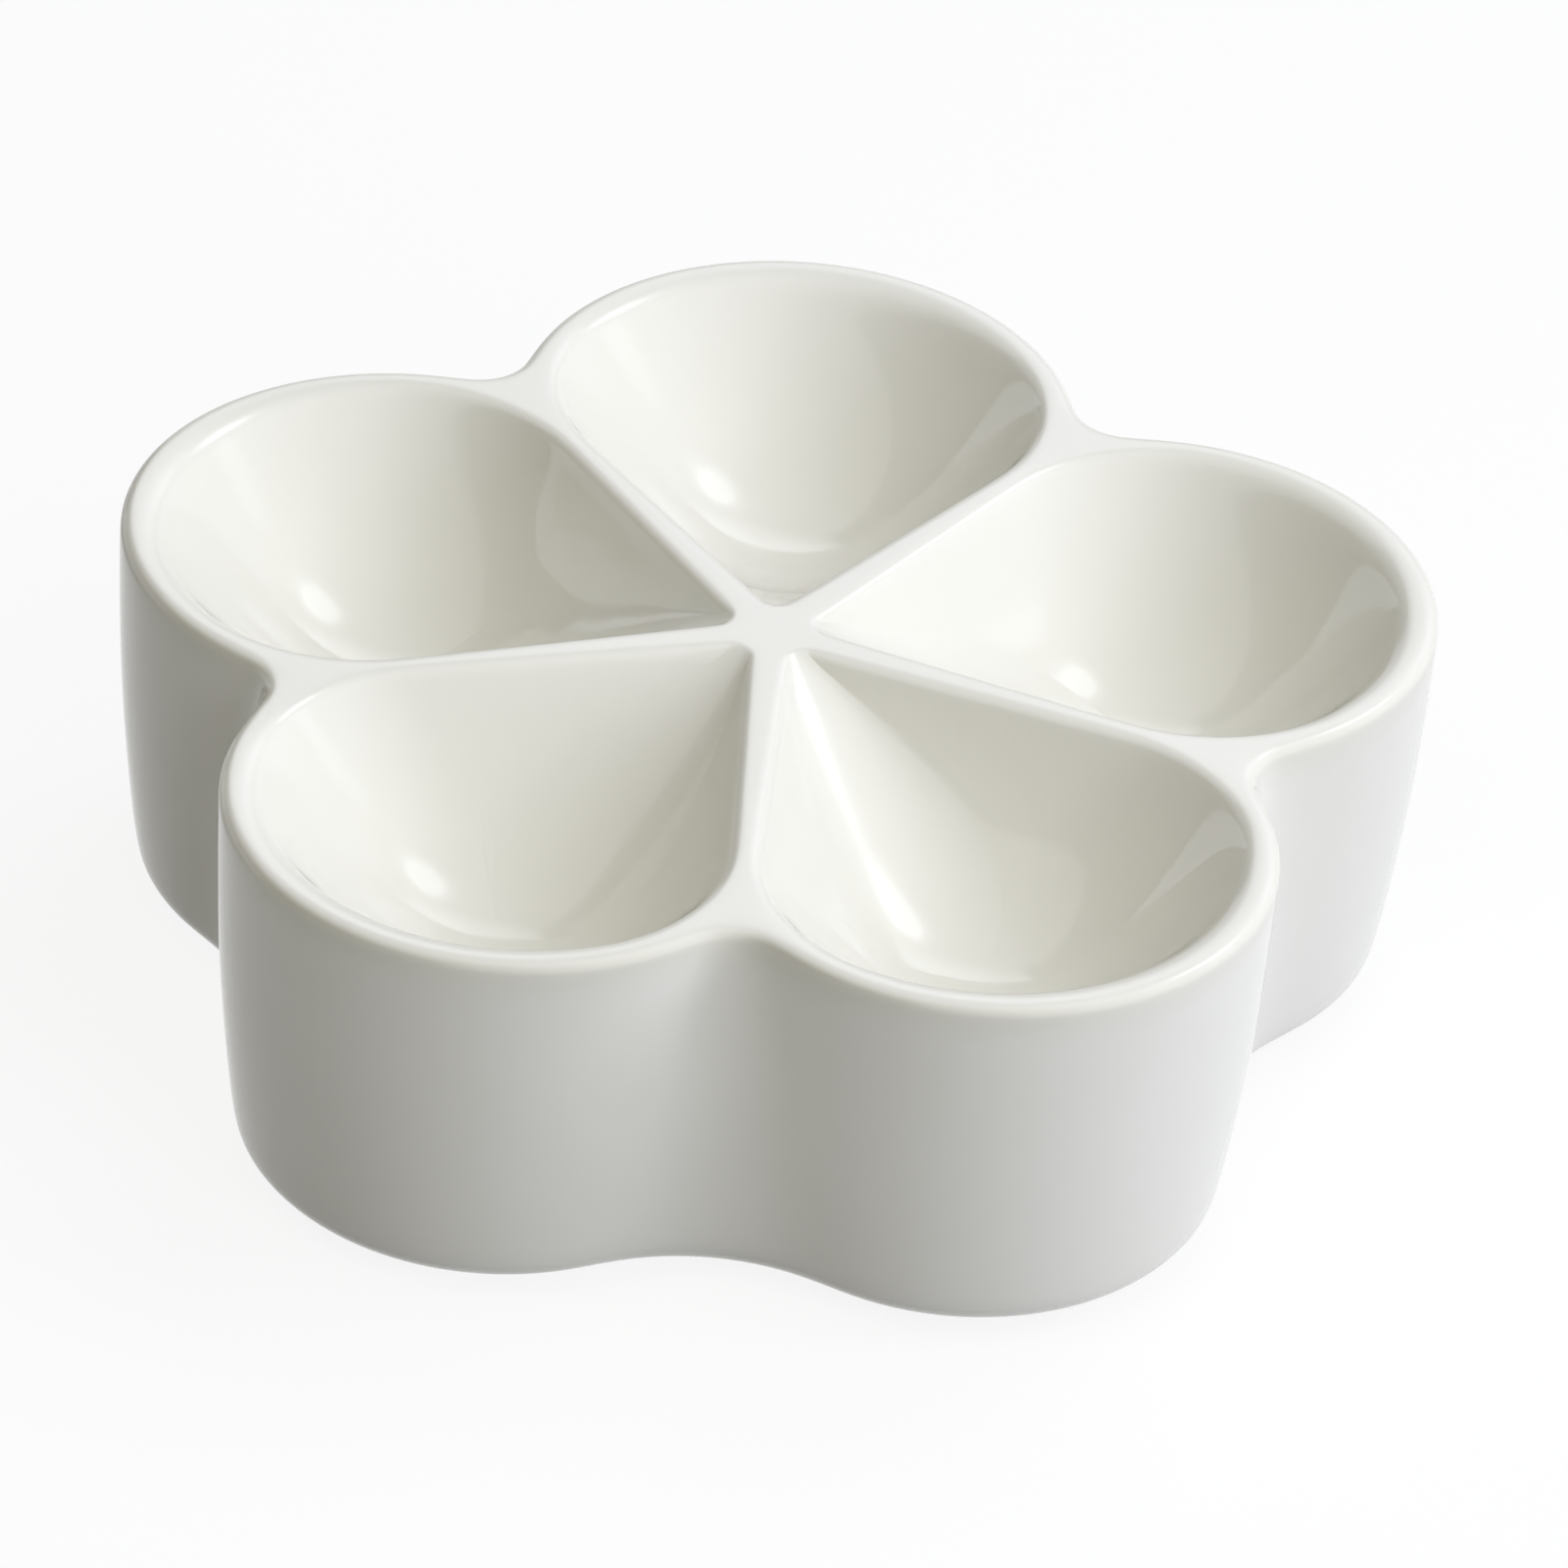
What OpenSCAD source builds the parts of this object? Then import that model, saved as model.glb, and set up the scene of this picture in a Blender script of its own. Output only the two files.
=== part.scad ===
// Divided serving bowl: a low, double-walled ceramic dish with a petal outline.
// Petal-shaped cups meet at a hub. Their edges roll over into thin ribs and into a soft lip,
// and a fluted outer wall hides the cups from the side.
// Units are millimetres. The dish stands on the plane z = 0, with the hub on the Z axis and
// the first petal towards +Y.

/* [Dish] */
// number of petals and cups
cups = 5; // [4:1:7]
// height from the table to the top of the lip
dish_h = 63; // [44:1:90]
// radius of the round end of each petal, at the lip
petal_r = 42; // [30:0.5:60]
// distance from the hub to the middle of that round end
petal_at = 58; // [44:0.5:76]
// radius of the hollow between two petals, at the lip
notch_r = 8; // [4:0.5:16]
// radius of the same hollow at the foot, where the flute has opened out
flute_r = 34; // [10:1:60]
// how far the wall leans in between the lip and the table
wall_lean = 5.2; // [0:0.2:12]
// radius of the rounded corner between wall and floor
corner_r = 6; // [3:0.5:14]

/* [Lip and ribs] */
// radius of the lip's outer roll
lip_r = 1.8; // [1:0.1:4]
// flat left on top of the lip, between its two rolls
lip_flat = 1; // [0.2:0.1:3]
// radius of the roll from the lip down into the round end of a cup
mouth_r = 5; // [1:0.5:8]
// radius of the same roll where it runs along a rib
edge_r = 2.2; // [0.8:0.1:3]
// flat left on top of a rib at its thinnest
rib_flat = 1; // [0.6:0.1:4]
// flat left on top of a rib where it runs into the hub
hub_flat = 3.2; // [1:0.1:6]

/* [Cups] */
// deepest point of a cup, below the lip
cup_deep = 26; // [14:1:46]
// radius of a cup's two shoulders, seen from above
shoulder_r = 29.5; // [15:0.5:33]
// radius of a cup's tip, seen from above
tip_r = 4; // [1:0.1:8]
// the round at the bottom of a cup, as a share of the widest circle that fits in its edge
round_share = 0.98; // [0.6:0.02:1.06]
// how soon below the edge the petal outline turns into that round: more is sooner
turn_share = 3; // [1:0.1:4]
// how the cup wall curves: 1 is a cone, 2 is a bowl, more is a flatter bottom
wall_curve_share = 2.3; // [1.4:0.1:4]

/* [Clay] */
// thickness of the outer wall
wall = 4; // [3:0.1:7]
// thickness of the floor and of the bottom of the cups
floor_t = 4; // [3:0.1:8]
// height of the lip body, down to the seam with the outer shell
lip_h = 7; // [5:0.5:12]

/* [Foot] */
// how far in from the edge of the flat floor, at a notch, the foot ring stands
foot_in = 8; // [2:0.5:20]
// width of the foot ring
foot_w = 5; // [3:0.5:9]
// height of the foot ring
foot_h = 2; // [1:0.1:5]
// rounding of the foot ring's bottom edges
foot_round = 0.8; // [0.3:0.1:0.9]
// diameter of the firing vent in the middle of the floor
vent_d = 4; // [3:0.1:8]

/* [Glaze] */
// colour of the glazed ware
glaze = [0.93, 0.925, 0.905]; // red, green and blue, each from 0 to 1
// colour of the bare clay under the foot
bare_clay = [0.86, 0.82, 0.75]; // red, green and blue, each from 0 to 1

/* [Hidden] */

half = 180 / cups;
sector = 360 / cups;
first_petal = 90;

// steps along half a petal outline: the round end, then half of the hollow
lobe_n = 9;
notch_n = 3;
// steps along half a cup edge: round end, shoulder, straight side, tip
nose_n = 7;
shoulder_n = 8;
side_n = 5;
tip_n = 3;
half_n = nose_n + shoulder_n + side_n + tip_n;
edge_n = 2 * half_n;
// steps of a cup edge that face the outer wall instead of a rib
rim_n = lobe_n + notch_n;
loop_n = 2 * rim_n * cups;
rib_n = half_n - rim_n;
// steps across the lip's roll, the cup edge's roll and the foot corner
lip_n = 4;
roll_n = 3;
corner_n = 4;
ring_facets = 72;
vent_facets = 32;

seam_z = dish_h - lip_h;
floor_z = foot_h;
inner_floor_z = floor_z + floor_t;
hole_clear = floor_t;
under_deep = cup_deep + floor_t;

// the cup levels, as shares of the way from the deepest point to the edge
cup_level_shares = [0.14, 0.28, 0.42, 0.55, 0.67, 0.78, 0.87, 0.94, 1];
under_level_shares = [0.94, 0.82, 0.64, 0.42, 0.2];
// the outer wall's levels, as shares of the way from the seam down to the foot corner
wall_level_shares = [0, 0.33, 0.66, 1];
// how much of the room for a cup's shoulders they may fill
shoulder_room_share = 0.95;
// the widest roll into a cup, as a share of the radius of its round end
mouth_most_share = 0.18;
// the steepest that a cup's wall gets, as a share of upright
steepest_share = 0.89;
// how many times its slope is worked out again
settle_n = 4;
// the least rounding inside the foot corner, as a share of the wall
inner_corner_share = 0.25;

function dir(a) = [cos(a), sin(a)];
function turned(p, a) = [p.x * cos(a) - p.y * sin(a), p.x * sin(a) + p.y * cos(a)];
function mirrored(p) = [p.x, -p.y];
function at_z(p, z) = [p.x, p.y, z];

// how much of the height above the table a level has
function height_share(z) = z / dish_h;
// the wall leans in more the lower it gets
function lean(z) = wall_lean * pow(1 - height_share(z), 2);
// the hollow between two petals opens out towards the foot
function hollow_r(z) = flute_r + (notch_r - flute_r) * height_share(z);

// half of one petal, from its nose round to the middle of the hollow, moved in by an inset
function half_petal(inset, hollow) =
    let (
        r = petal_r - inset,
        q = petal_at * cos(half) + sqrt(pow(r + hollow, 2) - pow(petal_at * sin(half), 2)),
        hollow_mid = q * dir(half),
        to_hollow = hollow_mid - [petal_at, 0],
        meet = atan2(to_hollow.y, to_hollow.x)
    )
    concat(
        [for (i = [0 : lobe_n]) [petal_at, 0] + r * dir(meet * i / lobe_n)],
        [for (i = [1 : notch_n])
            hollow_mid + hollow * dir(180 + meet + (half - meet) * i / notch_n)]
    );

// the whole outline, anticlockwise from the first petal's nose
function petal_loop(inset, hollow) =
    let (h = half_petal(inset, hollow))
    [for (k = [0 : cups - 1], i = [0 : 2 * rim_n - 1])
        turned(i <= rim_n ? h[i] : turned(mirrored(h[2 * rim_n - i]), sector),
               first_petal + sector * k)];

// the outline at a level of the outer wall, moved in by a further inset
function wall_loop(z, inset) =
    [for (p = petal_loop(lean(z) + inset, hollow_r(z) + inset)) at_z(p, z)];

// how far out the flat of the floor reaches in a notch, where the foot ring has least room
floor_reach = norm(half_petal(lean(floor_z) + corner_r, hollow_r(floor_z) + corner_r)[rim_n]);
foot_r = floor_reach - foot_in;

// The edge of a cup, seen from above: a round end, two shoulders that turn in along the ribs,
// straight sides and a small round tip. A shoulder is never rounder than its petal has room for.
nose_r = petal_r - lip_r - lip_flat;
shoulder_room = ((nose_r + petal_at) * sin(half) - rib_flat / 2) / (1 + sin(half));
shoulder = min(shoulder_r, shoulder_room * shoulder_room_share, nose_r * shoulder_room_share);
shoulder_off = nose_r - shoulder;
toward_rib = (shoulder + rib_flat / 2 - petal_at * sin(half)) / shoulder_off;
shoulder_turn = half - asin(max(-1, toward_rib));
shoulder_mid = [petal_at, 0] + shoulder_off * dir(shoulder_turn);
tip_mid = [(tip_r + hub_flat / 2) / sin(half), 0];
tip_to_shoulder = shoulder_mid - tip_mid;
side_turn = 90 + atan2(tip_to_shoulder.y, tip_to_shoulder.x)
    + asin((shoulder - tip_r) / norm(tip_to_shoulder));

// half of a cup edge: each entry is a point and the direction that faces away from the cup
half_edge = concat(
    [for (i = [0 : nose_n])
        let (a = shoulder_turn * i / nose_n) [[petal_at, 0] + nose_r * dir(a), a]],
    [for (i = [1 : shoulder_n])
        let (a = shoulder_turn + (side_turn - shoulder_turn) * i / shoulder_n)
        [shoulder_mid + shoulder * dir(a), a]],
    [for (i = [1 : side_n - 1])
        let (w = i / side_n)
        [(shoulder_mid + shoulder * dir(side_turn)) * (1 - w)
            + (tip_mid + tip_r * dir(side_turn)) * w, side_turn]],
    [for (i = [0 : tip_n])
        let (a = side_turn + (180 - side_turn) * i / tip_n) [tip_mid + tip_r * dir(a), a]]
);

// The shape of a cup. Each level is the cup's edge, drawn in towards the deepest point and
// blended with a circle, direction for direction, so that the tip opens out with depth.
deep_mid = [petal_at, 0];
fit_r = min(nose_r, petal_at * sin(half) - rib_flat / 2);
round_r = fit_r * round_share;

// how steep the wall is at its top, where it lies that far out and that far down
function slope(out, down) =
    min(90 * steepest_share,
        atan2((cup_deep - down) * wall_curve_share,
              (turn_share + 1) * out - turn_share * round_r));

// the roll into a cup is widest at the round end and narrows towards the straight sides
mouth = min(mouth_r, nose_r * mouth_most_share);
half_roll = [for (e = half_edge)
    edge_r + (mouth - edge_r) * pow(cos(90 * min(1, e[1] / side_turn)), 2)];

// the slope at which a roll of radius r hands over to the wall, closer with each time
function settled(out, r, a, times) =
    times < 1 ? a
    : settled(out, r, slope(out - r * sin(a), r * (1 - cos(a))), times - 1);

half_slope = [for (i = [0 : half_n])
    let (out = (half_edge[i][0] - deep_mid) * dir(half_edge[i][1]))
    settled(out, half_roll[i], slope(out, 0), settle_n)];

// a point of the roll over which the edge has turned down by that angle, and its depth
function rolled(i, angle) =
    [half_edge[i][0] - half_roll[i] * sin(angle) * dir(half_edge[i][1]),
     half_roll[i] * (1 - cos(angle))];

// where the roll hands over to the wall
half_wall = [for (i = [0 : half_n]) rolled(i, half_slope[i])];

// the same lists right round the cup, from the nose anticlockwise
function mirror_index(i) = i <= half_n ? i : edge_n - i;
function both(p, i) = i <= half_n ? p : mirrored(p);

// a level of a cup: the petal outline at the edge, turning round with depth
function cup_ring(share) =
    let (petal = pow(share, turn_share))
    [for (i = [0 : edge_n - 1])
        let (
            m = mirror_index(i),
            w = half_wall[m],
            out = petal * (w[0] - deep_mid) + (1 - petal) * round_r * dir(half_edge[m][1])
        )
        at_z(both(deep_mid + share * out, i),
             dish_h - w[1] - (cup_deep - w[1]) * (1 - pow(share, wall_curve_share)))];

// a level of the roll between the wall and the flat on top
function roll_ring(step) =
    [for (i = [0 : edge_n - 1])
        let (
            m = mirror_index(i),
            r = rolled(m, half_slope[m] * (1 - step / roll_n))
        )
        at_z(both(r[0], i), dish_h - r[1])];

// the points of one rib's middle line, from the notch in to the hub
function rib_reach(h) =
    let (
        tip_start = half_n - tip_n,
        along = half_edge[min(h, tip_start)][0] * dir(half)
    )
    h <= tip_start ? along : along * (half_n - h) / tip_n;

function rib_line(z) =
    [for (k = [0 : cups - 1], h = [rim_n + 1 : half_n - 1])
        at_z(rib_reach(h) * dir(first_petal + sector * k + half), z)];

// The underside of the cups, which the outer shell hides.
seam_inset = wall;
half_under = concat(
    half_petal(lean(seam_z) + seam_inset, hollow_r(seam_z) + seam_inset),
    [for (h = [rim_n + 1 : half_n]) rib_reach(h) * dir(half)]
);

function under_ring(share) =
    [for (i = [0 : edge_n - 1])
        let (p = both(half_under[mirror_index(i)], i))
        at_z(deep_mid + (p - deep_mid) * share,
             seam_z - (under_deep - lip_h) * (1 - pow(share, wall_curve_share)))];

// Rings of points are put together into one skin.
function placed(ring, k) =
    [for (p = ring) let (t = turned([p.x, p.y], first_petal + sector * k)) at_z(t, p.z)];

// which point of the lip or rib faces point i of cup k: loop is where the outline's points start,
// ribs where the ribs' points start, hub is the hub's point
function facing_id(k, i, loop, ribs, hub) =
    let (
        h = mirror_index(i),
        side = i <= half_n ? 1 : -1,
        rib = (side > 0 ? k : k + cups - 1) % cups
    )
    h <= rim_n ? loop + (2 * rim_n * k + side * h + loop_n) % loop_n
    : h == half_n ? hub
    : ribs + (rib_n - 1) * rib + h - rim_n - 1;

// two triangles for each step between one row of points and the next
function band(a, b) =
    let (n = len(a))
    [for (i = [0 : n - 1])
        let (j = (i + 1) % n)
        each [[a[i], a[j], b[j]], [a[i], b[j], b[i]]]];
function fan_out(mid, b) = [for (i = [0 : len(b) - 1]) [mid, b[(i + 1) % len(b)], b[i]]];
function fan_in(a, mid) = [for (i = [0 : len(a) - 1]) [a[i], a[(i + 1) % len(a)], mid]];
function row(start, n) = [for (i = [0 : n - 1]) start + i];
function flat(lists) = [for (l = lists) each l];

module cup_liner() {
    cup_rings = concat([for (s = cup_level_shares) cup_ring(s)],
                       [for (j = [1 : roll_n]) roll_ring(j)]);
    under_rings = [for (s = under_level_shares) under_ring(s)];
    top_n = len(cup_rings);
    under_n = len(under_rings);

    // one cup's own points: the deepest point, the rings, the underside's rings and its middle
    cup_points = concat([at_z(deep_mid, dish_h - cup_deep)], flat(cup_rings),
                        flat(under_rings), [at_z(deep_mid, dish_h - under_deep)]);
    own_n = len(cup_points);

    // the outline's loops, from the top of the lip down and in along the seam
    lip_loops = concat(
        [for (j = [0 : lip_n])
            let (a = 90 * j / lip_n) wall_loop(dish_h - lip_r * (1 - cos(a)), lip_r * (1 - sin(a)))],
        [wall_loop(seam_z, 0), wall_loop(seam_z, seam_inset)]
    );
    loops_n = len(lip_loops);
    loop_start = own_n * cups;
    last_loop = loop_start + loop_n * (loops_n - 1);
    top_ribs = loop_start + loop_n * loops_n;
    seam_ribs = top_ribs + (rib_n - 1) * cups;
    top_hub = seam_ribs + (rib_n - 1) * cups;
    seam_hub = top_hub + 1;

    points = concat(
        flat([for (k = [0 : cups - 1]) placed(cup_points, k)]),
        flat(lip_loops), rib_line(dish_h), rib_line(seam_z),
        [at_z([0, 0], dish_h), at_z([0, 0], seam_z)]
    );
    cup_faces = flat([for (k = [0 : cups - 1])
        let (
            start = own_n * k,
            ring = [for (j = [0 : top_n + under_n - 1]) row(start + 1 + edge_n * j, edge_n)],
            top_edge = [for (i = [0 : edge_n - 1]) facing_id(k, i, loop_start, top_ribs, top_hub)],
            seam_edge = [for (i = [0 : edge_n - 1])
                facing_id(k, i, last_loop, seam_ribs, seam_hub)]
        )
        concat(
            fan_out(start, ring[0]),
            flat([for (j = [0 : top_n - 2]) band(ring[j], ring[j + 1])]),
            band(ring[top_n - 1], top_edge),
            band(seam_edge, ring[top_n]),
            flat([for (j = [top_n : top_n + under_n - 2]) band(ring[j], ring[j + 1])]),
            fan_in(ring[top_n + under_n - 1], start + own_n - 1)
        )]);
    lip_faces = flat([for (j = [0 : loops_n - 2])
        band(row(loop_start + loop_n * j, loop_n), row(loop_start + loop_n * (j + 1), loop_n))]);

    color(glaze) polyhedron(points, concat(cup_faces, lip_faces), convexity = 8);
}

module outer_shell() {
    corner_top = floor_z + corner_r;
    inner_corner_r = max(corner_r - wall, wall * inner_corner_share);
    inner_top = inner_floor_z + inner_corner_r;
    // from the seam down the outside, in under the floor, then from the floor up the inside
    outside = concat(
        [for (s = wall_level_shares) wall_loop(seam_z + (corner_top - seam_z) * s, 0)],
        [for (j = [1 : corner_n])
            let (a = 90 * j / corner_n)
            wall_loop(corner_top - corner_r * sin(a), corner_r * (1 - cos(a)))]
    );
    inside = concat(
        [for (j = [0 : corner_n - 1])
            let (a = 90 * (1 - j / corner_n))
            wall_loop(inner_top - inner_corner_r * sin(a),
                      wall + inner_corner_r * (1 - cos(a)))],
        [for (s = wall_level_shares) wall_loop(inner_top + (seam_z - inner_top) * s, wall)]
    );
    out_n = len(outside);
    in_n = len(inside);
    points = concat(flat(outside), flat(inside),
                    [at_z([0, 0], floor_z), at_z([0, 0], inner_floor_z)]);
    rows = [for (j = [0 : out_n + in_n - 1]) row(loop_n * j, loop_n)];
    floor_mid = loop_n * (out_n + in_n);
    faces = concat(
        flat([for (j = [0 : out_n - 2]) band(rows[j], rows[j + 1])]),
        fan_in(rows[out_n - 1], floor_mid),
        fan_out(floor_mid + 1, rows[out_n]),
        flat([for (j = [out_n : out_n + in_n - 2]) band(rows[j], rows[j + 1])]),
        band(rows[out_n + in_n - 1], rows[0])
    );
    color(glaze) difference() {
        polyhedron(points, faces, convexity = 6);
        translate([0, 0, floor_z - hole_clear])
            cylinder(h = floor_t + 2 * hole_clear, d = vent_d, $fn = vent_facets);
    }
}

module foot_ring() {
    color(bare_clay) rotate_extrude($fn = ring_facets)
        translate([foot_r - foot_w, 0]) polygon([
            [foot_round, 0],
            [foot_w - foot_round, 0],
            [foot_w, foot_round],
            [foot_w, foot_h],
            [0, foot_h],
            [0, foot_round]
        ]);
}

cup_liner();
outer_shell();
foot_ring();
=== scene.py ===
import math

import bmesh
import bpy
from mathutils import Matrix, Vector


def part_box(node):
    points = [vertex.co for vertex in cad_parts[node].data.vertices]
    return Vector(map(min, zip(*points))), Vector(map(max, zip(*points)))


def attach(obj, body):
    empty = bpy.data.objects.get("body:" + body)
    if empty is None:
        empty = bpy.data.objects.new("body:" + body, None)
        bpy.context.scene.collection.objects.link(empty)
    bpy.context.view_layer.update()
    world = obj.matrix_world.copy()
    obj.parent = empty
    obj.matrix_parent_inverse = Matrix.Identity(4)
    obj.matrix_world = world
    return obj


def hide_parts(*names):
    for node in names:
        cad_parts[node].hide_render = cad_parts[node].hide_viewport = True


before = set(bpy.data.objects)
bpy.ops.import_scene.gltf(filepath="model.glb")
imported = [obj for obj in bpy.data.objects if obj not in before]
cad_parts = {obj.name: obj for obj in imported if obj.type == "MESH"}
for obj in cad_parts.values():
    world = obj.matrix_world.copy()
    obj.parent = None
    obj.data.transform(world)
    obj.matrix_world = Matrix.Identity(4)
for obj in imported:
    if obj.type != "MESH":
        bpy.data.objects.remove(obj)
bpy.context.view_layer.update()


# The dish itself: cups and lip are one casting and the fluted wall another, stuck together
# while the clay is soft. One coat of glaze covers both, so no seam shows outside: their
# skins are sewn into one here, and the hollow between them is closed off at the vent.
mm = 0.001
weld = 0.02 * mm
vent_r = 2 * mm
vent_depth = 4 * mm
floor_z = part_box("outer_shell")[0].z
seam_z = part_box("outer_shell")[1].z
below_cups_z = seam_z / 2

skin = bmesh.new()
for casting in ("cup_liner", "outer_shell"):
    skin.from_mesh(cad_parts[casting].data)
bmesh.ops.remove_doubles(skin, verts=skin.verts, dist=weld)


def lies_at(face, z):
    return all(abs(v.co.z - z) < weld for v in face.verts)


def near_axis(face):
    return all(v.co.xy.length < vent_r + weld for v in face.verts)


seam = [f for f in skin.faces if lies_at(f, seam_z)]
bmesh.ops.delete(skin, geom=seam, context="FACES")
vent = [f for f in skin.faces if near_axis(f) and f.calc_center_median().z < below_cups_z]
bmesh.ops.delete(skin, geom=vent, context="FACES")

# what can be reached from the hub is the outside; the rest is the hollow
hub = max(skin.verts, key=lambda v: (round(v.co.z / weld), -v.co.xy.length))
outside = set(hub.link_faces)
edge_of_search = list(outside)
while edge_of_search:
    face = edge_of_search.pop()
    for edge in face.edges:
        for other in edge.link_faces:
            if other not in outside:
                outside.add(other)
                edge_of_search.append(other)
hollow = [f for f in skin.faces if f not in outside]
bmesh.ops.delete(skin, geom=hollow, context="FACES")

# the flat floor gets even rings of faces, from the foot corner in to the vent
flat_floor = [f for f in skin.faces if lies_at(f, floor_z)]
bmesh.ops.delete(skin, geom=flat_floor, context="FACES")
loose = [v for v in skin.verts if not v.link_faces]
bmesh.ops.delete(skin, geom=loose, context="VERTS")
rim = [e for e in skin.edges if e.is_boundary]


def ring_inside(edges, radius, z, roundness):
    """Extrudes a ring of edges and draws it in, towards a circle of that radius."""
    grown = bmesh.ops.extrude_edge_only(skin, edges=edges)["geom"]
    for v in (g for g in grown if isinstance(g, bmesh.types.BMVert)):
        out = v.co.xy
        reach = out.length * (1 - roundness) + radius * roundness
        v.co.xy = out.normalized() * reach
        v.co.z = z
    return [g for g in grown if isinstance(g, bmesh.types.BMEdge) and g.is_boundary]


# each ring has its radius, its height, and how near it comes to a true circle
for radius, z, roundness in (
    (60 * mm, floor_z, 0.12),
    (60 * mm, floor_z, 0.75),
    (40 * mm, floor_z, 1),
    (10 * mm, floor_z, 1),
    (vent_r * 1.4, floor_z, 1),
    (vent_r * 1.1, floor_z + 0.1 * mm, 1),
    (vent_r, floor_z + 0.5 * mm, 1),
    (vent_r, floor_z + vent_depth, 1),
):
    rim = ring_inside(rim, radius, z, roundness)
cap = bmesh.ops.contextual_create(skin, geom=rim)["faces"]
bmesh.ops.poke(skin, faces=cap)

flat_enough = math.radians(40)
square_enough = math.radians(60)
bmesh.ops.join_triangles(
    skin, faces=skin.faces, cmp_seam=False, cmp_sharp=False, cmp_uvs=False,
    cmp_vcols=False, cmp_materials=False,
    angle_face_threshold=flat_enough, angle_shape_threshold=square_enough,
)
bmesh.ops.recalc_face_normals(skin, faces=skin.faces)

# glaze runs thin over an edge and gathers in a crease, and the crease is painted darker as shade
# too:
# how sharply the skin bends is kept on its points, above zero where it bends outwards, and so is
# the outer turn of the lip, where the glaze drains down the wall and the warm clay shows through it,
# and where painted shade stands for the dark line under the lip
top_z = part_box("cup_liner")[1].z
turn_starts = 0.3 * mm
turn_ends = 2.2 * mm
outward = 0.2
bend = skin.verts.layers.float.new("bend")
lip_turn = skin.verts.layers.float.new("lip_turn")
for v in skin.verts:
    angles = [e.calc_face_angle_signed(0.0) for e in v.link_edges]
    v[bend] = max(angles) + min(angles)
    depth = top_z - v.co.z
    faces_out = v.normal.xy.dot(v.co.xy.normalized())
    v[lip_turn] = 1 if turn_starts < depth < turn_ends and faces_out > outward else 0

dish_mesh = bpy.data.meshes.new("glazed_dish")
skin.to_mesh(dish_mesh)
skin.free()
dish_mesh.polygons.foreach_set("use_smooth", [True] * len(dish_mesh.polygons))
dish = bpy.data.objects.new("glazed_dish", dish_mesh)
bpy.context.scene.collection.objects.link(dish)
smooth = dish.modifiers.new("smooth", "SUBSURF")
smooth.levels = smooth.render_levels = 2

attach(dish, "root")
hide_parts("cup_liner", "outer_shell")


def new_material(name):
    material = bpy.data.materials.new(name)
    material.use_nodes = True
    return material, material.node_tree.nodes, material.node_tree.links


glaze, nodes, links = new_material("warm_white_glaze")
shader = nodes["Principled BSDF"]
shader.inputs["IOR"].default_value = 1.5
place = nodes.new("ShaderNodeTexCoord")


def noise(scale, detail, rough=0.5):
    n = nodes.new("ShaderNodeTexNoise")
    n.inputs["Scale"].default_value = scale
    n.inputs["Detail"].default_value = detail
    n.inputs["Roughness"].default_value = rough
    links.new(place.outputs["Object"], n.inputs["Vector"])
    return n.outputs["Fac"]


def spread(value, low, high, to_low, to_high):
    r = nodes.new("ShaderNodeMapRange")
    r.inputs["From Min"].default_value = low
    r.inputs["From Max"].default_value = high
    r.inputs["To Min"].default_value = to_low
    r.inputs["To Max"].default_value = to_high
    links.new(value, r.inputs["Value"])
    return r.outputs["Result"]


def tinted(share, under, over):
    m = nodes.new("ShaderNodeMix")
    m.data_type = "RGBA"
    links.new(share, m.inputs["Factor"])
    for socket, colour in (("A", under), ("B", over)):
        inputs = [i for i in m.inputs if i.name == socket and i.type == "RGBA"]
        if isinstance(colour, tuple):
            inputs[0].default_value = (*colour, 1)
        else:
            links.new(colour, inputs[0])
    return [o for o in m.outputs if o.type == "RGBA"][0]


def kept(attribute):
    a = nodes.new("ShaderNodeAttribute")
    a.attribute_name = attribute
    return a.outputs["Fac"]


milky = (0.828, 0.81, 0.724)
creamy = (0.853, 0.835, 0.754)
thin_over_edges = (0.81, 0.77, 0.65)
thin_share = 0.06
# painted shade: the lip's outer turn is coloured a darker olive, for the shade line under the lip as
# well as the thinly glazed clay
drained_lip_painted_shade = (0.69, 0.67, 0.52)
lip_shade_share = 0.22
# painted shade: creases are coloured darker and greyer, for the shade in them as well as the thicker
# glaze
crease_painted_shade = (0.79, 0.79, 0.71)
crease_shade_share = 0.3

clouds = noise(scale=14, detail=3)
cloud = tinted(spread(clouds, 0.35, 0.65, 0, 1), milky, creamy)
thin = tinted(spread(kept("bend"), 0.2, 0.7, 0, thin_share), cloud, thin_over_edges)
# the next two tints paint shade into the glaze colour, along the lip's outer turn and in the creases
lip_drained_and_shaded = tinted(spread(kept("lip_turn"), 0.2, 1, 0, lip_shade_share), thin, drained_lip_painted_shade)
creases_painted_darker = tinted(spread(kept("bend"), -0.1, -0.5, 0, crease_shade_share), lip_drained_and_shaded, crease_painted_shade)
links.new(creases_painted_darker, shader.inputs["Base Color"])

glossiest = 0.04
dullest = 0.08
sheen = noise(scale=40, detail=4)
links.new(spread(sheen, 0.3, 0.7, glossiest, dullest), shader.inputs["Roughness"])


def bumped(height, depth, under=None):
    b = nodes.new("ShaderNodeBump")
    b.inputs["Distance"].default_value = depth
    b.inputs["Strength"].default_value = 1
    links.new(height, b.inputs["Height"])
    if under is not None:
        links.new(under, b.inputs["Normal"])
    return b.outputs["Normal"]


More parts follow.
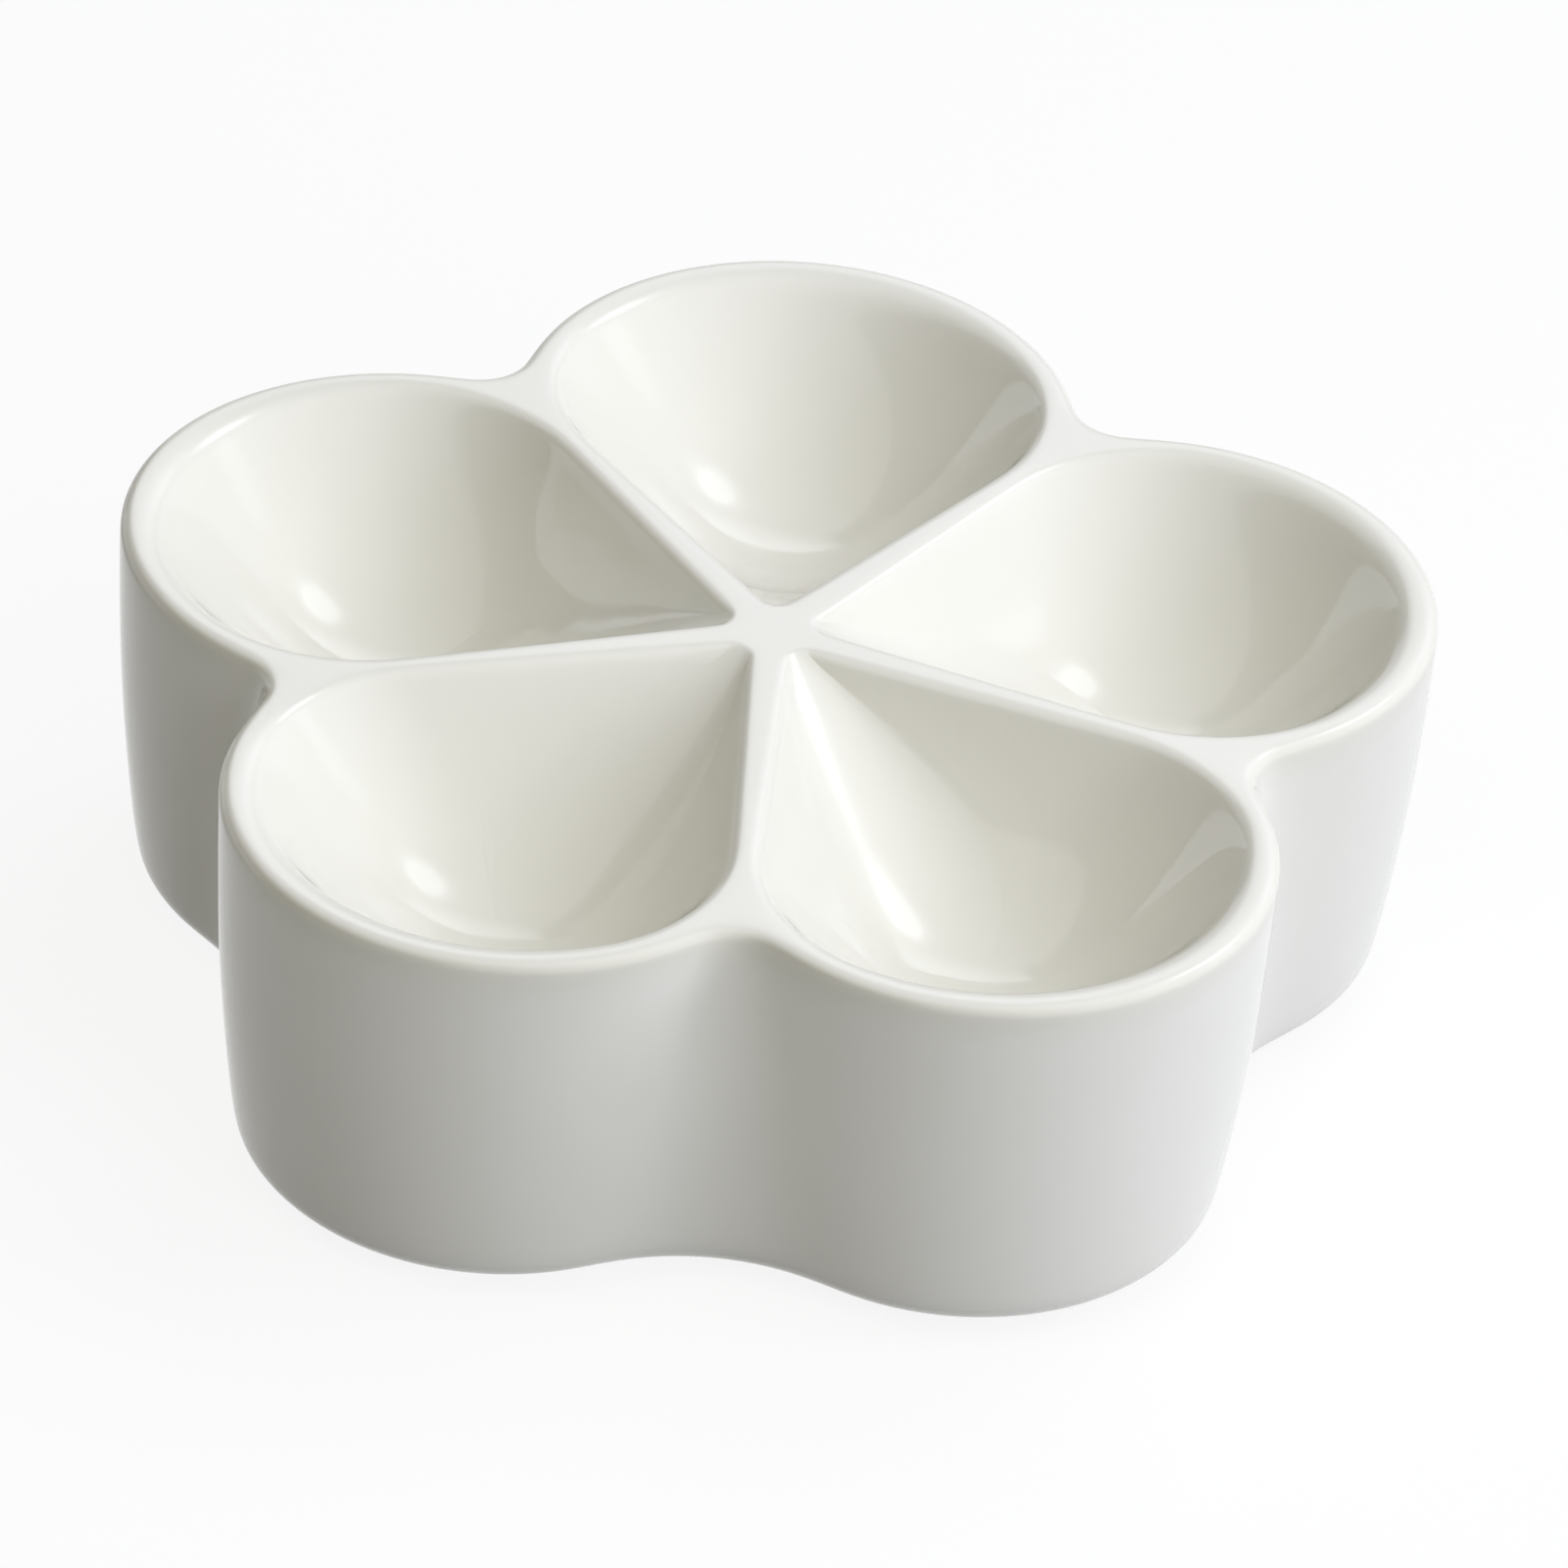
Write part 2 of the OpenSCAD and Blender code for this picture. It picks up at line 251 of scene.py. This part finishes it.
# the glaze set in wide soft waves, with fine dimples on them
wave_depth = 0.25 * mm
dimple_depth = 0.012 * mm
waves = bumped(noise(scale=22, detail=2), wave_depth)
dimples = bumped(noise(scale=160, detail=2), dimple_depth, waves)
links.new(dimples, shader.inputs["Normal"])
dish_mesh.materials.clear()
dish_mesh.materials.append(glaze)


# The foot is a low ring turned on the underside. The glaze is wiped off its bottom and the
# bare clay is ground flat, so that it neither sticks in the kiln nor scratches a table.
ring_low, ring_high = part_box("foot_ring")
foot_width = 5 * mm
ring_out = ring_high.x
ring_in = ring_out - foot_width
ring_top = ring_high.z
edge_round = 0.8 * mm
edge_segments = 4
steps_round = 180
sharp_from = math.radians(40)

foot = bmesh.new()
corners = [foot.verts.new((x, 0, z)) for x, z in (
    (ring_in, ring_top), (ring_in, ring_low.z), (ring_out, ring_low.z), (ring_out, ring_top))]
for a, b in zip(corners, corners[1:] + corners[:1]):
    foot.edges.new((a, b))
bmesh.ops.bevel(foot, geom=corners[1:3], offset=edge_round, segments=edge_segments,
                profile=0.5, affect="VERTICES", offset_type="OFFSET", material=-1)
bmesh.ops.spin(foot, geom=foot.verts[:] + foot.edges[:], cent=(0, 0, 0), axis=(0, 0, 1),
               angle=2 * math.pi, steps=steps_round, use_merge=True)
bmesh.ops.remove_doubles(foot, verts=foot.verts, dist=weld)
bmesh.ops.recalc_face_normals(foot, faces=foot.faces)
foot_mesh = bpy.data.meshes.new("ground_foot")
foot.to_mesh(foot_mesh)
foot.free()
foot_mesh.polygons.foreach_set("use_smooth", [True] * len(foot_mesh.polygons))
foot_mesh.set_sharp_from_angle(angle=sharp_from)
ground_foot = bpy.data.objects.new("ground_foot", foot_mesh)
bpy.context.scene.collection.objects.link(ground_foot)
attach(ground_foot, "root")
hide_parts("foot_ring")

biscuit, nodes, links = new_material("ground_biscuit")
shader = nodes["Principled BSDF"]
place = nodes.new("ShaderNodeTexCoord")
sandy_dark = (0.62, 0.54, 0.43)
sandy_light = (0.76, 0.69, 0.58)
rusty = (0.50, 0.42, 0.32)
stain_share = 0.35
best_ground = 0.7
least_ground = 0.95
grain_depth = 0.08 * mm
grain = noise(scale=900, detail=5, rough=0.7)
stain = noise(scale=60, detail=3)
clay = tinted(spread(grain, 0.35, 0.65, 0, 1), sandy_dark, sandy_light)
stained = tinted(spread(stain, 0.5, 0.75, 0, stain_share), clay, rusty)
links.new(stained, shader.inputs["Base Color"])
links.new(spread(grain, 0.3, 0.7, best_ground, least_ground), shader.inputs["Roughness"])
links.new(bumped(grain, grain_depth), shader.inputs["Normal"])
foot_mesh.materials.append(biscuit)


# The table and the room behind it are one white sheet. Seen straight, it is white but for
# the dish's own soft shadow; what it throws back on the dish is the light that falls on it.
sheet_reach = 6
thrown_back = (0.4, 0.4, 0.4, 1)
table = bmesh.new()
bmesh.ops.create_grid(table, x_segments=1, y_segments=1, size=sheet_reach)
table_mesh = bpy.data.meshes.new("table")
table.to_mesh(table_mesh)
table.free()
table_top = bpy.data.objects.new("table", table_mesh)
bpy.context.scene.collection.objects.link(table_top)
sheet, nodes, links = new_material("white_sheet")
matt = nodes["Principled BSDF"]
matt.inputs["Base Color"].default_value = thrown_back
matt.inputs["Roughness"].default_value = 0.9
matt.inputs["Specular IOR Level"].default_value = 0


def seen_share():
    """How much of a ray is looking, straight or in a gloss, and not just carrying light."""
    rays = nodes.new("ShaderNodeLightPath")
    share = rays.outputs["Is Camera Ray"]
    for kind in ("Is Glossy Ray", "Is Transmission Ray"):
        either = nodes.new("ShaderNodeMath")
        either.operation = "MAXIMUM"
        links.new(share, either.inputs[0])
        links.new(rays.outputs[kind], either.inputs[1])
        share = either.outputs[0]
    return share


def mixed(share, first, second):
    m = nodes.new("ShaderNodeMixShader")
    if isinstance(share, float):
        m.inputs["Fac"].default_value = share
    else:
        links.new(share, m.inputs["Fac"])
    links.new(first, m.inputs[1])
    links.new(second, m.inputs[2])
    return m.outputs["Shader"]


shadow_share = 0.12
pure_white = (1, 1, 1, 1)
white = nodes.new("ShaderNodeEmission")
white.inputs["Color"].default_value = pure_white
lit = nodes.new("ShaderNodeBsdfDiffuse")
lit.inputs["Color"].default_value = pure_white
looked_at = mixed(shadow_share, white.outputs["Emission"], lit.outputs["BSDF"])
links.new(mixed(seen_share(), matt.outputs["BSDF"], looked_at),
          nodes["Material Output"].inputs["Surface"])
table_mesh.materials.append(sheet)

# the room is as white as the sheet where it is looked at, and lights the dish only a little
room_light = 0.1
world = bpy.data.worlds.new("room")
bpy.context.scene.world = world
world.use_nodes = True
nodes, links = world.node_tree.nodes, world.node_tree.links
room = nodes["Background"]
room.inputs["Color"].default_value = pure_white
room.inputs["Strength"].default_value = room_light
bright = nodes.new("ShaderNodeBackground")
bright.inputs["Color"].default_value = pure_white
links.new(mixed(seen_share(), room.outputs["Background"], bright.outputs["Background"]),
          nodes["World Output"].inputs["Surface"])


# Daylight comes from the right: a wide soft window beside the dish and a lower one in front of
# it, some sky over the far side, and a little warmer light thrown back by the left of the room.
def window(name, azimuth, elevation, size, watts, colour, away=1.6, shape="ELLIPSE"):
    lamp = bpy.data.lights.new(name, "AREA")
    lamp.shape = shape
    lamp.size, lamp.size_y = size
    lamp.energy = watts
    lamp.color = colour
    obj = bpy.data.objects.new(name, lamp)
    bpy.context.scene.collection.objects.link(obj)
    a, e = math.radians(azimuth), math.radians(elevation)
    towards = Vector((math.cos(e) * math.cos(a), math.cos(e) * math.sin(a), math.sin(e)))
    obj.location = towards * away
    obj.rotation_euler = towards.to_track_quat("Z", "Y").to_euler()
    obj.visible_glossy = False
    return obj


day = (0.855, 0.886, 1)
shade_side = (0.98, 0.94, 0.72)
wide = (0.9, 0.9)
window("side_window", 0, 36, wide, 9.9, day)
window("low_window", -30, 12, wide, 9, day)
window("sky", 60, 62, wide, 6.2, day)
window("front_fill", -60, 36, wide, 4.8, day)
window("left_fill", 240, 62, wide, 4.7, shade_side)


# What shows in the gloss: a round pane, brighter towards its middle, a small one beside it, a
# pale ceiling over the far side that fades at its edges, the foot of a pale wall behind the
# dish on the left, and a grey screen round the left of the table. The screen is no lamp but a
# dimly glowing sheet that only the gloss sees: a painted reflection of a darker room there.
def mirrored(name, azimuth, elevation, size, glow, away, lights_dish=False, shape="ELLIPSE"):
    """A lamp that shows in the gloss. A glow of 1 is as bright as the white sheet."""
    area = size[0] * size[1]
    if shape == "ELLIPSE":
        area *= math.pi / 4
    watts = glow * math.pi * area
    obj = window(name, azimuth, elevation, size, watts, day, away, shape)
    obj.visible_glossy = True
    obj.visible_diffuse = lights_dish


# lamps are see-through, so those one behind another add up, a finger's breadth apart
behind = 0.01
pane_discs = ((0.47, 2), (0.58, 0.8), (0.7, 0.5), (0.85, 0.4))
for disc, (across, glow) in enumerate(pane_discs):
    mirrored("pane", 34, 49, (across, across), glow, 1.6 + behind * disc, lights_dish=True)
mirrored("small_pane", 12, 27, (0.35, 0.35), 0.8, 1.7)
ceiling_layers = 5
for layer in range(ceiling_layers):
    size = (1.2 + 0.2 * layer, 0.3 + 0.22 * layer)
    mirrored("ceiling", 80, 36, size, 0.36, 1.8 + behind * layer)
mirrored("pale_wall", 152, 8, (1.7, 0.6), 1.02, 1.4, shape="RECTANGLE")

painted_room_grey = (0.3, 0.3, 0.28, 1)
screen_away = 1.5
screen_foot = 0.12
screen_head = 1.5
first_station = 112
last_station = 252
station_step = 5
screen = bmesh.new()
low = []
for station in range(first_station, last_station + 1, station_step):
    a = math.radians(station)
    low.append(screen.verts.new((screen_away * math.cos(a), screen_away * math.sin(a), screen_foot)))
line = [screen.edges.new(pair) for pair in zip(low, low[1:])]
raised = bmesh.ops.extrude_edge_only(screen, edges=line)["geom"]
for v in (g for g in raised if isinstance(g, bmesh.types.BMVert)):
    v.co.z = screen_head
screen_mesh = bpy.data.meshes.new("screen")
screen.to_mesh(screen_mesh)
screen.free()
grey_screen = bpy.data.objects.new("screen", screen_mesh)
bpy.context.scene.collection.objects.link(grey_screen)
grey_screen.visible_camera = False
grey_screen.visible_diffuse = False
grey_screen.visible_shadow = False
# painted reflection: the screen is an emission sheet, glowing grey, that stands in for the dim room
# seen in the glaze
room_reflection_glow, nodes, links = new_material("painted_room_reflection")
grey = nodes.new("ShaderNodeEmission")
grey.inputs["Color"].default_value = painted_room_grey
links.new(grey.outputs["Emission"], nodes["Material Output"].inputs["Surface"])
screen_mesh.materials.append(room_reflection_glow)


# The camera stands in front of a hollow between two petals and looks down on the cups,
# a little tilted, from far enough away that the dish keeps its true shape.
turn = math.radians(1.18)
lift = math.radians(35.3)
tilt = math.radians(4.44)
away = 1.882
aim_right = 3.46 * mm
aim_up = 29.08 * mm
back = Vector((math.cos(lift) * math.sin(turn), -math.cos(lift) * math.cos(turn), math.sin(lift)))
level_right = Vector((0, 0, 1)).cross(back).normalized()
level_up = back.cross(level_right)
right = math.cos(tilt) * level_right + math.sin(tilt) * level_up
up = math.cos(tilt) * level_up - math.sin(tilt) * level_right
aim = level_right * aim_right + level_up * aim_up
lens = bpy.data.cameras.new("portrait")
lens.sensor_width = 36
lens.lens = 291.3
lens.clip_end = 20
camera = bpy.data.objects.new("portrait", lens)
bpy.context.scene.collection.objects.link(camera)
stand = Matrix((right, up, back)).transposed().to_4x4()
stand.translation = aim + back * away
camera.matrix_world = stand
bpy.context.scene.camera = camera
bpy.context.scene.view_settings.view_transform = "Standard"
